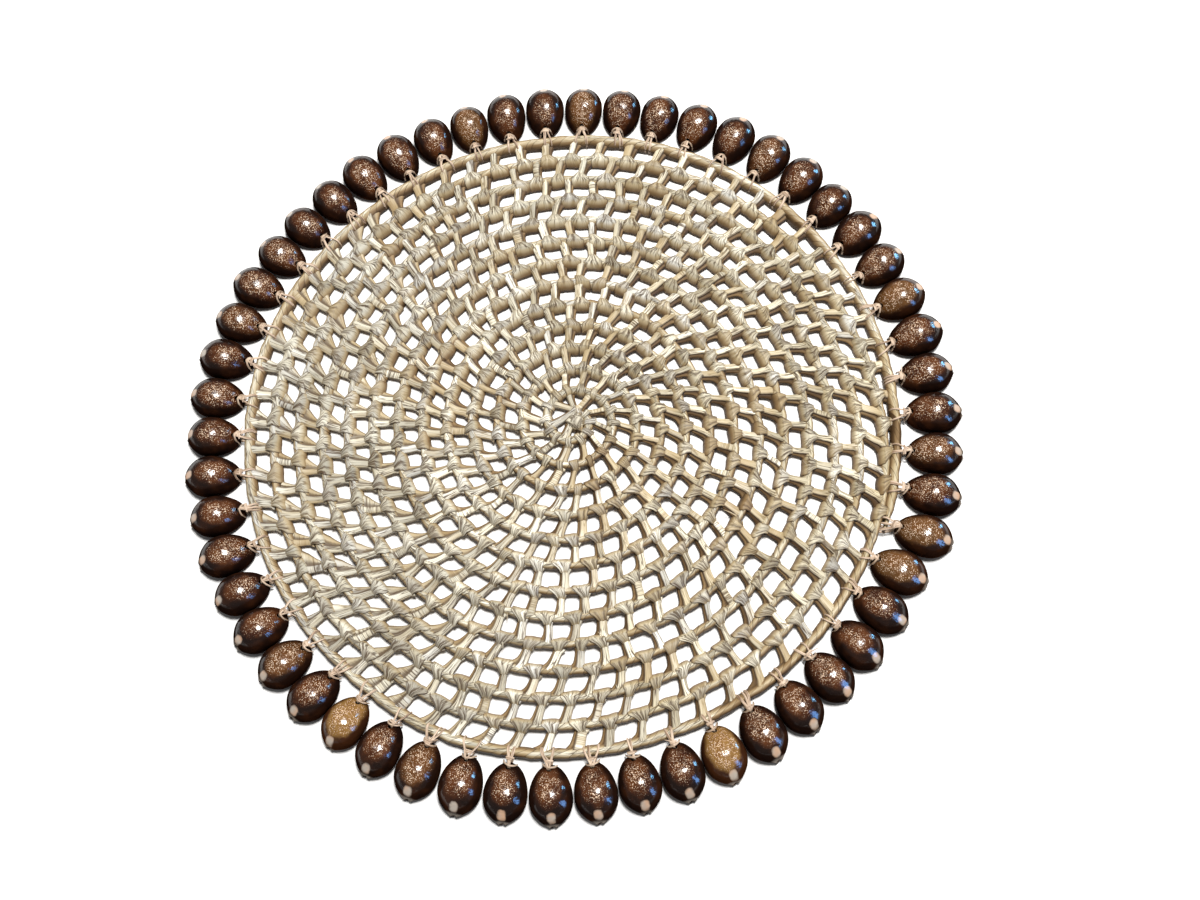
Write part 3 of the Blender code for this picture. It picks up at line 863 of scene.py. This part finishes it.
def build_ties(sizes, material):
    """Raffia strands from each cowrie's drilled hole round the rim, a knot, and loose ends."""
    numbers = np.random.default_rng(60)
    paths, knots, tails, bars = [], [], [], []
    rim_turns = np.linspace(COIL_TURNS - 1, COIL_TURNS - 1e-3, 1500)
    rim_points, _, _ = on_line(length_at(rim_turns))
    for _, inner, ahead, length, _, _ in cowrie_places():
        near = np.linalg.norm(rim_points - inner, axis=1).argmin()
        rim, _, outward = on_line(length_at(rim_turns[near]))
        clockwise = np.array((outward[1], -outward[0]))
        to_hole = inner + ahead * length * HOLE_SHARE - rim
        for side in (-1, 1, numbers.choice((-1, 1)))[:numbers.integers(2, 4)]:
            reach = side * numbers.uniform(0.6, 4.0) * MM
            jog = numbers.uniform(-0.5, 0.5) * MM
            path = []
            for share, aside, height in TIE_ROUTE:
                step = rim + (to_hole * share if share > 0 else outward * share * TIE_DEPTH)
                path.append((*(step + clockwise * (aside * reach + jog)), height * MM))
            paths.append(path)
        skew, high = numbers.uniform(-0.12, 0.12), numbers.uniform(0, 0.4)
        bars.append([(*(rim + to_hole * (share + skew * aside / 3) + clockwise * aside * MM),
                      (height + high) * MM) for share, aside, height in BAR_ROUTE])
        waist = rim + to_hole * numbers.uniform(0.35, 0.7)
        knots.append((waist, outward, clockwise))
        for _ in range(numbers.integers(0, 3)):
            way = clockwise * numbers.uniform(-1, 1) + outward * numbers.uniform(-0.9, 0.3)
            first = np.array((*waist, 8.2 * MM))
            far = first + np.array((*way, 0)) * numbers.uniform(2.5, 5.5) * MM
            far[2] = numbers.uniform(6.8, 9.2) * MM
            between = (first + far) / 2 + np.array((0, 0, numbers.uniform(0.2, 1.1) * MM))
            tails.append((first, between, far))
    skin = Skin()
    half = sizes.strand_width / 2

    def add(ways, wide, thick, sides=6, girth=5):
        """Adds strands whose half width and thickness are shares of a strand's own."""
        tone = numbers.uniform(0, 1, (len(ways), 1, 1))
        add_strands(skin, ways, half * wide, half * thick, sides, girth * half, tone=tone)

    add(curve_through(np.array(paths), TIE_POINTS), 1 + 0.25 * numbers.uniform(-1, 1, (len(paths), 1)), 0.55)
    add(curve_through(np.array(bars), BAR_POINTS), 0.85, 0.6)
    rings = []
    angle, drift = np.linspace(0, TAU * KNOT_TURNS, RING_POINTS), np.linspace(-0.35, 0.5, RING_POINTS) * MM
    for waist, outward, clockwise in knots:
        size = numbers.uniform(0.85, 1.35) * MM
        ring = waist + clockwise * (np.cos(angle) * size * 1.8)[:, None] + outward * drift[:, None]
        rings.append(np.concatenate([ring, (8.05 * MM + np.sin(angle) * size * 0.55)[:, None]], 1))
    add(np.array(rings), 0.85, 0.5)
    thin = np.linspace(1, 0.45, TAIL_POINTS)[None]
    add(curve_through(np.array(tails), TAIL_POINTS), 0.7 * thin, 0.4 * thin, 5, 4)
    return skin.piece("raffia_ties", material, 60)


FIBRE_COUNT, FIBRE_POINTS = 150, 9
FIBRE_WIDTHS, FIBRE_CHANCES = (0.10, 0.14, 0.20, 0.55), (0.35, 0.35, 0.18, 0.12)


def build_fibres(material):
    """Frayed fibres and curled leaf tips that stand out of the posts here and there."""
    numbers = np.random.default_rng(61)
    feet, heads = posts()
    paths, widths = [], []
    for _ in range(FIBRE_COUNT):
        pick = numbers.integers(20, len(feet))
        base, ahead, outward = on_line(feet[pick] if numbers.uniform() < 0.5 else heads[pick])
        base = base + ahead * numbers.uniform(-3, 3) * MM
        way = ahead * numbers.uniform(-1, 1) + outward * numbers.uniform(-1, 1)
        way = way / np.linalg.norm(way)
        bend = np.array((-way[1], way[0])) * numbers.uniform(-0.5, 0.5)
        reach = numbers.uniform(3.0, 8.5) * MM
        low, high = numbers.uniform(4.6, 6.4), numbers.uniform(4.4, 7.6)
        paths.append([(*(base + way * reach * share + bend * reach * share * share),
                       (low + (high - low) * share) * MM) for share in (0.0, 0.35, 0.7, 1.0)])
        widths.append(numbers.choice(FIBRE_WIDTHS, p=FIBRE_CHANCES) * MM)
    paths, widths = curve_through(np.array(paths), FIBRE_POINTS), np.array(widths)[:, None]
    tone, browning = (numbers.uniform(0, most, (len(paths), 1, 1)) for most in (1, 0.7))
    skin = Skin()
    add_strands(skin, paths, widths * np.linspace(1, 0.3, FIBRE_POINTS)[None], np.minimum(widths, 0.1 * MM),
                4, 0.0012, twist=math.pi / 4, edge=0.002, tone=tone, browning=browning)
    return skin.piece("frayed_fibres", material, 60)


# Cowries

COWRIE_SIZE = (28.3, 20.7, 14.6)  # template length, width and height in mm
COWRIE_RINGS, COWRIE_COLUMNS = 44, 44
MOST_WIDE, ENDS_BLUNT, CREST_BLUNT = 1.125, 0.39, 0.42
DRILL_LEVELS, DRILL_SIDES = (-3.2, 2.5), 14
TEETH, OPENING_DEPTH = 15, 2.4
HONEY_COWRIES = (34, 43)


def cowrie_profile(share, blunt):
    return np.sin(math.pi * np.clip(share, 0, 1) ** MOST_WIDE) ** blunt


def cowrie_half(share):
    """Half the cowrie's width at a share of its length, in mm; it narrows to its outer end."""
    return COWRIE_SIZE[1] / 2 * cowrie_profile(share, ENDS_BLUNT + 0.20 * smooth((share - 0.5) / 0.5))


def cowrie_heights(share):
    """Top, margin and base of the cowrie at a share of its length, in mm."""
    high = COWRIE_SIZE[2] * cowrie_profile(share, CREST_BLUNT)
    base = 2.0 * np.abs(2 * share - 1) ** 5
    top = np.maximum(high, base + 0.4)
    return top, base + 0.34 * (top - base), base


def aperture(share):
    """The opening's middle line and half width underneath, in mm."""
    return 0.9 * np.sin(2.4 * (share - 0.4)), 0.55 + 0.55 * np.abs(share - 0.45) ** 0.7


def cowrie_base(share, across):
    """Height of the underside at a place across it, in mm."""
    half = cowrie_half(share)
    _, margin, base = cowrie_heights(share)
    cos = np.clip(np.abs(across) / half, 0, 1) ** (1 / 0.8)
    return margin - (margin - base) * (1 - cos ** 2) ** 0.30


def cowrie_template():
    """Points and faces of one cowrie in mm, its drilled end at -X."""
    length = COWRIE_SIZE[0]
    share = 0.5 - 0.5 * np.cos(math.pi * np.arange(1, COWRIE_RINGS + 1) / (COWRIE_RINGS + 1))
    turn = np.arange(COWRIE_COLUMNS) / COWRIE_COLUMNS
    angle = -math.pi / 2 + TAU * (turn - 0.095 * np.sin(TAU * turn))
    share, angle = np.meshgrid(share, angle, indexing="ij")
    cos, sin = np.cos(angle), np.sin(angle)
    top, margin, base = cowrie_heights(share)
    half = cowrie_half(share)
    upper = margin + (top - margin) * np.abs(sin) ** 0.92
    lower = margin - (margin - base) * np.abs(sin) ** 0.60
    across = half * np.sign(cos) * np.abs(cos) ** np.where(sin > 0, 0.92, 0.80)
    height = np.where(sin > 0, upper, lower)
    x = (share - 0.5) * length
    # The toothed opening, then the two lobes, the notch and the knob of the outer end
    line, opening = aperture(share)
    inward = np.clip(1 - ((across - line) / opening) ** 2, 0, 1)
    inside = (sin < 0) * smooth((share - 0.05) / 0.05) * smooth((0.975 - share) / 0.04)
    height = height + OPENING_DEPTH * inside * np.sqrt(inward)
    lobes = np.exp(-((np.abs(across - 0.3) - 1.5) / 0.9) ** 2) * smooth((share - 0.90) / 0.08)
    x = x + 0.45 * lobes * (np.abs(sin) < 0.75)
    notch = np.exp(-((across - 0.3) / 0.7) ** 2) * smooth((share - 0.93) / 0.06)
    x = x - 0.45 * notch
    knob = np.exp(-(((x - 12.0) / 1.7) ** 2 + ((across - 0.2) / 1.8) ** 2)) * (sin > 0)
    height = height + 0.45 * knob
    grid = np.stack([x, across, height], -1).reshape(-1, 3)
    inner, outer = grid[:COWRIE_COLUMNS], grid[-COWRIE_COLUMNS:]
    ends = [(-length / 2, 0.0, inner[:, 2].mean()), (outer[:, 0].max() + 0.02, 0.3, outer[:, 2].mean())]
    points = np.concatenate([grid, np.array(ends)])
    first, last, end = len(grid), len(grid) + 1, len(grid) - COWRIE_COLUMNS
    beside = [(j, (j + 1) % COWRIE_COLUMNS) for j in range(COWRIE_COLUMNS)]
    faces = [(a + j, a + COWRIE_COLUMNS + j, a + COWRIE_COLUMNS + k, a + k)
             for a in range(0, end, COWRIE_COLUMNS) for j, k in beside]
    for j, k in beside:
        faces += [(first, j, k), (last, end + k, end + j)]
    form, drill = new_object("cowrie_form", points.tolist(), faces), drill_bit()
    cut = form.modifiers.new("drilled", "BOOLEAN")
    cut.operation, cut.solver, cut.object = "DIFFERENCE", "EXACT", drill
    bpy.context.view_layer.update()
    drilled = form.evaluated_get(bpy.context.evaluated_depsgraph_get()).to_mesh()
    points = vertex_places(drilled)
    faces = [tuple(face.vertices) for face in drilled.polygons]
    for unused in (form, drill):
        data = unused.data
        bpy.data.objects.remove(unused)
        bpy.data.meshes.remove(data)
    return points, faces


def hole_place():
    top, _, _ = cowrie_heights(np.array(HOLE_SHARE))
    return Vector(((HOLE_SHARE - 0.5) * COWRIE_SIZE[0], 0.0, float(top))), Vector((-0.55, 0.0, 0.83))


def drill_bit():
    """A slim round bit across the cowrie's back near its inner end."""
    place, way = hole_place()
    turn = way.to_track_quat("Z", "Y").to_matrix()
    points = []
    for level in DRILL_LEVELS:
        for i in range(DRILL_SIDES):
            angle = TAU * i / DRILL_SIDES
            rim = Vector((math.cos(angle), math.sin(angle), 0.0)) * HOLE_RADIUS
            points.append(place + turn @ (rim + Vector((0.0, 0.0, level))))
    low, high = range(DRILL_SIDES), range(DRILL_SIDES, 2 * DRILL_SIDES)
    faces = [(i, (i + 1) % DRILL_SIDES, high[(i + 1) % DRILL_SIDES], high[i]) for i in low]
    return new_object("drill_bit", points, faces + [tuple(reversed(low)), tuple(high)])


TOOTH_LENGTHS = {-1: 1.7, 1: 2.3}  # by side of the opening, in mm
# A point's distance sideways from the tooth's middle and down from the underside, in mm
TOOTH_SECTION = ((-0.42, -0.22), (-0.24, 0.22), (0.24, 0.22), (0.42, -0.22))


def cowrie_teeth():
    """Low ridges across both lips of the opening: points and faces in mm."""
    points, faces = [], []
    for side, long in TOOTH_LENGTHS.items():
        for number in range(TEETH):
            share = 0.11 + 0.80 * number / (TEETH - 1)
            line, opening = (float(value) for value in aperture(share))
            start = len(points)
            # From the lip outwards: how far out, how far up, and the shares of its width and depth
            for out, rise, wide, fall in ((-0.25, 0.45, 1, 1), (0.25, 0, 1, 1), (0.9, 0, 1, 1),
                                          (long, 0, 0.6, 0.25)):
                across = line + side * (opening + out)
                level = float(cowrie_base(share, across)) + rise
                for aside, down in TOOTH_SECTION:
                    x = (share - 0.5) * COWRIE_SIZE[0] + aside * wide
                    points.append((x, across, max(level - down * fall, 0.02)))
            for a in (start + i * 4 + j for i in range(3) for j in range(3)):
                faces.append((a, a + 1, a + 5, a + 4)[::side])
    return np.array(points), faces


def cowrie_finish(points, teeth_from):
    """What the finish reads at each point: back, hole and teeth."""
    length, width, _ = COWRIE_SIZE
    x, y, z = points.T
    back = 1 - ((x + 2.6) / (0.35 * length)) ** 2 - (y / (0.33 * width)) ** 2
    share = np.clip(x / length + 0.5, 0, 1)
    top, margin, _ = cowrie_heights(share)
    back = np.where(z > margin + 0.1 * (top - margin), np.maximum(back, -1), -1)
    place, way = hole_place()
    rel = points - np.array(place)
    depth = rel @ np.array(way)
    off = np.linalg.norm(rel - depth[:, None] * np.array(way), axis=1)
    hole = ((off < HOLE_RADIUS + 0.1) & (depth < -0.25)).astype(float)
    line, opening = aperture(share)
    deep = (z < margin) & (np.abs(y - line) < opening) & (z > 1.0)
    teeth = np.where(deep, 0.15, 0.0)
    teeth[teeth_from:] = 0.75
    return {"back": back, "hole": np.maximum(hole, deep * 0.6), "teeth": teeth}


def build_cowries(material):
    """Each cowrie from the one template, drawn to its node's length, width and direction."""
    body, faces = cowrie_template()
    ridges, ridge_faces = cowrie_teeth()
    faces = faces + [tuple(i + len(body) for i in face) for face in ridge_faces]
    points = np.concatenate([body, ridges])
    finish = cowrie_finish(points, len(body))
    numbers = np.random.default_rng(62)
    for index, (name, inner, ahead, *size) in enumerate(cowrie_places()):
        own = points * (np.array(size) / MM / COWRIE_SIZE)
        lop, hump = numbers.uniform(-0.45, 0.45), numbers.uniform(-0.02, 0.02)
        own[:, 1] += lop * np.sin(own[:, 0] / 9) * own[:, 2] / 14
        own[:, 2] *= 1 + hump * np.cos(own[:, 0] / 6)
        tone = numbers.uniform(0, 0.8)
        if index + 1 in HONEY_COWRIES:
            tone = 1.0
        values = {**finish, "tone": np.full(len(own), tone)}
        piece = new_object("glossy_" + name, (own * MM).tolist(), faces, material, values, 52)
        piece.location = (*(inner + ahead * size[0] / 2), 0.0)
        piece.rotation_euler = (0.0, 0.0, math.atan2(ahead[1], ahead[0]))
        stand_for(piece, name)


# Stage

CAMERA_PLACE = (0.0054, -0.2208, 0.6333)
CAMERA_RIGHT = (0.9804, -0.1905, -0.0499)
CAMERA_UP = (0.1966, 0.9316, 0.3057)
CAMERA_BACK = (-0.0118, -0.3095, 0.9508)
FOCAL_LENGTH, SENSOR_WIDTH = 39.42, 36.0
# Lights: place, two sizes in metres, share of the key light's power, colour, whether gloss shows
# it and whether it lights dull surfaces
LIGHTS = (
    ("key_light", (0.26, 0.22, 1.66), (0.38, 0.38), 1.0, (1.0, 0.985, 0.96), True, True),
    ("far_fill", (0.95, 0.95, 1.10), (0.9, 0.9), 0.16, (1.0, 0.985, 0.96), False, True),
    ("window_light", (1.05, -0.85, 0.52), (0.34, 1.2), 0.34, (0.20, 0.45, 1.0), True, False),
    ("far_window", (1.25, 0.45, 0.30), (0.22, 0.34), 0.16, (0.22, 0.60, 1.0), True, False),
)


def build_stage(stage):
    """Pale floor, soft studio lights, and the camera at the photograph's viewing angle."""
    half = stage.floor_size / 2
    corners = [(-half, -half, 0), (half, -half, 0), (half, half, 0), (-half, half, 0)]
    floor = new_object("studio_floor", corners, [(0, 1, 2, 3)], floor_material(stage))
    for name, place, size, share, colour, glossy, dull in LIGHTS:
        lamp = bpy.data.lights.new(name, "AREA")
        lamp.shape = "ELLIPSE"
        lamp.size, lamp.size_y = size
        lamp.energy = stage.key_power * share
        lamp.color = colour
        made = bpy.data.objects.new(name, lamp)
        made.location = place
        made.visible_glossy, made.visible_diffuse = glossy, dull
        made.rotation_euler = (-Vector(place)).to_track_quat("-Z", "Y").to_euler()
        bpy.context.scene.collection.objects.link(made)
    world = bpy.data.worlds.new("studio")
    world.use_nodes = True
    backdrop = world.node_tree.nodes["Background"]
    backdrop.inputs["Color"].default_value = (*stage.surround, 1.0)
    backdrop.inputs["Strength"].default_value = stage.surround_strength
    bpy.context.scene.world = world
    lens = bpy.data.cameras.new("camera")
    lens.lens, lens.sensor_width = FOCAL_LENGTH, SENSOR_WIDTH
    lens.clip_start, lens.clip_end = 0.01, 20.0
    camera = bpy.data.objects.new("camera", lens)
    turn = Matrix((CAMERA_RIGHT, CAMERA_UP, CAMERA_BACK)).transposed().to_quaternion()
    camera.matrix_world = Matrix.Translation(CAMERA_PLACE) @ turn.to_matrix().to_4x4()
    bpy.context.scene.collection.objects.link(camera)
    bpy.context.scene.camera = camera
    bpy.context.scene.view_settings.view_transform = "Standard"


# Settings


def tint(name, description, default):
    return FloatVectorProperty(name=name, description=description, default=default, subtype="COLOR",
                               min=0.0, max=1.0)


def measure(name, description, default):
    return FloatProperty(name=name, description=description, default=default, unit="LENGTH", min=0.0)


class LeafSizes(bpy.types.PropertyGroup):
    coil_width: measure("Coil width", "Width of the wrapped coil in plan", 0.0036)
    coil_height: measure("Coil height", "Height of the wrapped coil", 0.0061)
    wrap_length: measure("Wrap length", "Length of coil that one wrap covers", 0.0052)
    post_width: measure("Post width", "Width of a post's shaft", 0.0047)
    fan_width: measure("Fan width", "Width of the leaf fanned over the inner row", 0.0100)
    strand_width: measure("Strand width", "Width of a raffia strand", 0.00108)
    hub_width: measure("Hub width", "Width of the crossed bands in the middle", 0.0085)


class LeafColours(bpy.types.PropertyGroup):
    pale: tint("Pale leaf", "Cooler, paler strips", (0.765, 0.735, 0.615))
    warm: tint("Warm leaf", "Yellower strips", (0.65, 0.56, 0.36))
    bleached: tint("Bleached leaf", "The few palest strips", (0.82, 0.82, 0.78))
    tan: tint("Tan streaks", "Broad streaks along a strip", (0.43, 0.36, 0.225))
    # The golden, side strip and brown colours are also the painted shade on inner faces, low leaf,
    # undersides and creases
    golden: tint("Golden leaf", "Faces that are turned inwards", (0.47, 0.355, 0.19))
    tan_dark: tint("Side strips", "Browner strips beside the front ones", (0.25, 0.155, 0.068))
    brown: tint("Edges and creases", "Dried edges, creases and veins", (0.065, 0.034, 0.013))
    tie: tint("Raffia", "Ties round the rim", (0.72, 0.56, 0.42))
    tie_dark: tint("Raffia shade", "Darker fibres of the ties", (0.20, 0.115, 0.06))


class CowrieColours(bpy.types.PropertyGroup):
    side: tint("Sides", "Dark sides", (0.011, 0.0050, 0.0036))
    side_warm: tint("Warm sides", "Browner clouds on the sides", (0.036, 0.012, 0.005))
    back: tint("Back", "Ground of the speckled back", (0.040, 0.012, 0.005))
    back_warm: tint("Warm back", "Lighter clouds on the back", (0.095, 0.031, 0.010))
    spot: tint("Spots", "Tan spots on the back", (0.15, 0.064, 0.025))
    speckle: tint("Speckles", "Cream speckles on the back", (0.82, 0.63, 0.46))
    tip: tint("Tip", "Pale blunt tip", (0.60, 0.38, 0.25))
    tip_grey: tint("Grey tip", "Cooler clouds on the tip", (0.48, 0.42, 0.36))
    teeth: tint("Teeth", "Ridges underneath", (0.52, 0.36, 0.22))
    honey: tint("Honey", "Back of the few lighter cowries", (0.36, 0.20, 0.06))


class StageSettings(bpy.types.PropertyGroup):
    floor: tint("Floor", "Pale floor", (0.90, 0.90, 0.90))
    surround: tint("Surround", "Light from all round", (1.0, 1.0, 1.0))
    floor_size: measure("Floor size", "Side of the square floor", 6.0)
    surround_strength: FloatProperty(name="Surround strength", description="Strength of the light from "
                                     "all round", default=0.14, min=0.0)
    key_power: FloatProperty(name="Key power", description="Power of the main light", default=40.0,
                             min=0.0, unit="POWER")


def leaf_of(context):
    """The leaf's finish, made once and shared by the leaf pieces."""
    material = bpy.data.materials.get("dry_leaf")
    return material or leaf_material("dry_leaf", context.scene.placemat_leaf)


class PLACEMAT_OT_coil(bpy.types.Operator):
    """Build the leaf-wrapped coil"""

    bl_idname = "placemat.coil"
    bl_label = "Wrapped Coil"

    def execute(self, context):
        sizes = context.scene.placemat_sizes
        build_coil(sizes, leaf_of(context))
        build_hub(sizes, leaf_of(context))
        return {"FINISHED"}


class PLACEMAT_OT_posts(bpy.types.Operator):
    """Build the posts between the rows and their fanned heads"""

    bl_idname = "placemat.posts"
    bl_label = "Posts"

    def execute(self, context):
        sizes = context.scene.placemat_sizes
        build_shafts(sizes, leaf_of(context))
        build_fans(sizes, leaf_of(context))
        return {"FINISHED"}


class PLACEMAT_OT_ties(bpy.types.Operator):
    """Build the raffia ties round the rim"""

    bl_idname = "placemat.ties"
    bl_label = "Raffia Ties"

    def execute(self, context):
        build_ties(context.scene.placemat_sizes, tie_material(context.scene.placemat_leaf))
        return {"FINISHED"}


class PLACEMAT_OT_fibres(bpy.types.Operator):
    bl_idname = "placemat.fibres"
    bl_label = "Frayed Fibres"

    def execute(self, context):
        build_fibres(leaf_of(context))
        return {"FINISHED"}


class PLACEMAT_OT_cowries(bpy.types.Operator):
    """Build the cowries along the rim"""

    bl_idname = "placemat.cowries"
    bl_label = "Cowries"

    def execute(self, context):
        build_cowries(cowrie_material(context.scene.placemat_cowrie))
        return {"FINISHED"}


class PLACEMAT_OT_stage(bpy.types.Operator):
    """Build the floor, the lights and the camera"""

    bl_idname = "placemat.stage"
    bl_label = "Stage"

    def execute(self, context):
        build_stage(context.scene.placemat_stage)
        return {"FINISHED"}


STEPS = (PLACEMAT_OT_stage, PLACEMAT_OT_coil, PLACEMAT_OT_posts, PLACEMAT_OT_ties,
         PLACEMAT_OT_fibres, PLACEMAT_OT_cowries)
SETTINGS = (("placemat_sizes", LeafSizes), ("placemat_leaf", LeafColours),
            ("placemat_cowrie", CowrieColours), ("placemat_stage", StageSettings))


class PLACEMAT_PT_panel(bpy.types.Panel):
    bl_label = "Openwork Placemat"
    bl_idname = "PLACEMAT_PT_panel"
    bl_space_type = "VIEW_3D"
    bl_region_type = "UI"
    bl_category = "Placemat"

    def draw(self, context):
        for key, group in SETTINGS:
            settings = getattr(context.scene, key)
            column = self.layout.column()
            for name in group.__annotations__:
                column.prop(settings, name)
        for step in STEPS:
            self.layout.operator(step.bl_idname)


def register():
    for _, group in SETTINGS:
        bpy.utils.register_class(group)
    for kind in (*STEPS, PLACEMAT_PT_panel):
        bpy.utils.register_class(kind)
    for key, group in SETTINGS:
        setattr(bpy.types.Scene, key, PointerProperty(type=group))


def unregister():
    for key, _ in SETTINGS:
        delattr(bpy.types.Scene, key)
    for kind in (PLACEMAT_PT_panel, *reversed(STEPS)):
        bpy.utils.unregister_class(kind)
    for _, group in reversed(SETTINGS):
        bpy.utils.unregister_class(group)


def main():
    register()
    for step in STEPS:
        family, name = step.bl_idname.split(".")
        getattr(getattr(bpy.ops, family), name)()
    bpy.context.view_layer.update()


if __name__ == "__main__":
    main()
